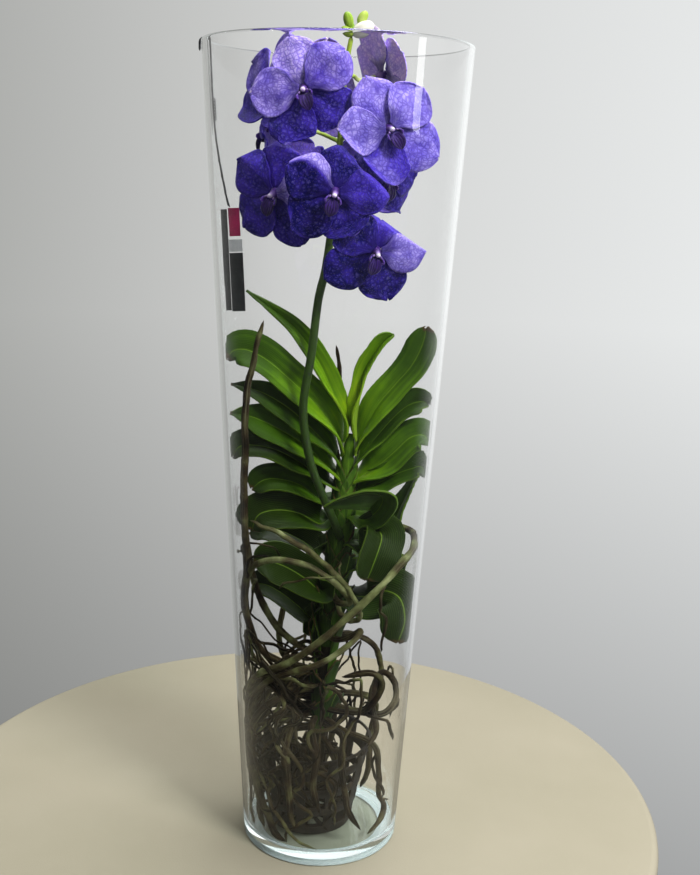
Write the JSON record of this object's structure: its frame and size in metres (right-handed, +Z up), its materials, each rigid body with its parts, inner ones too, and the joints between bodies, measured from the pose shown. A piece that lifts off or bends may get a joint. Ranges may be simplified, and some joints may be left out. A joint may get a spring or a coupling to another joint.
{
  "type": "vanda orchid in glass vase",
  "caption": "Whole vanda orchid in flower, with strap leaves and long aerial roots, standing in a net pot inside a tall conical clear glass vase.",
  "frame": {"origin": "middle of the vase's foot, on the surface it stands on", "axes": "+Z up, the plant is seen from -Y"},
  "size_m": [0.1916, 0.1896, 0.6223],
  "materials": {
    "vase_glass": "clear, polished",
    "pot_plastic": "matte, dark",
    "root_skin": "matte, grey-olive root skin",
    "leaf_skin": "waxy green leaf",
    "stalk_skin": "satin green stalk",
    "petal_skin": "satin violet, with a darker net",
    "lip_skin": "satin dark purple",
    "tag_card": "matte, dark",
    "tag_wire_metal": "satin black"
  },
  "bodies": {
    "root": {"glass_vase": "vase_glass", "net_pot": "pot_plastic", "stem_and_roots": "root_skin", "leaf_left_01": "leaf_skin", "leaf_left_02": "leaf_skin", "leaf_left_03": "leaf_skin", "leaf_left_04": "leaf_skin", "leaf_left_05": "leaf_skin", "leaf_left_06": "leaf_skin", "leaf_left_07": "leaf_skin", "leaf_left_08": "leaf_skin", "leaf_left_09": "leaf_skin", "leaf_left_10": "leaf_skin", "leaf_right_01": "leaf_skin", "leaf_right_02": "leaf_skin", "leaf_right_03": "leaf_skin", "leaf_right_04": "leaf_skin", "leaf_right_05": "leaf_skin", "leaf_right_06": "leaf_skin", "leaf_right_07": "leaf_skin", "leaf_right_08": "leaf_skin", "leaf_right_09": "leaf_skin", "leaf_right_10": "leaf_skin", "flower_spike": "stalk_skin", "bloom_01": "petal_skin", "bloom_01_lip": "lip_skin", "bloom_02": "petal_skin", "bloom_02_lip": "lip_skin", "bloom_03": "petal_skin", "bloom_03_lip": "lip_skin", "bloom_04": "petal_skin", "bloom_04_lip": "lip_skin", "bloom_05": "petal_skin", "bloom_05_lip": "lip_skin", "bloom_06": "petal_skin", "bloom_06_lip": "lip_skin", "bloom_07": "petal_skin", "bloom_07_lip": "lip_skin", "bloom_08": "petal_skin", "bloom_08_lip": "lip_skin", "bloom_09": "petal_skin", "bloom_09_lip": "lip_skin", "bloom_10": "petal_skin", "bloom_10_lip": "lip_skin", "bloom_11": "petal_skin", "bloom_11_lip": "lip_skin", "bloom_12": "petal_skin", "bloom_12_lip": "lip_skin", "hang_tag": "tag_card", "tag_wire": "tag_wire_metal"}
  },
  "joints": []
}
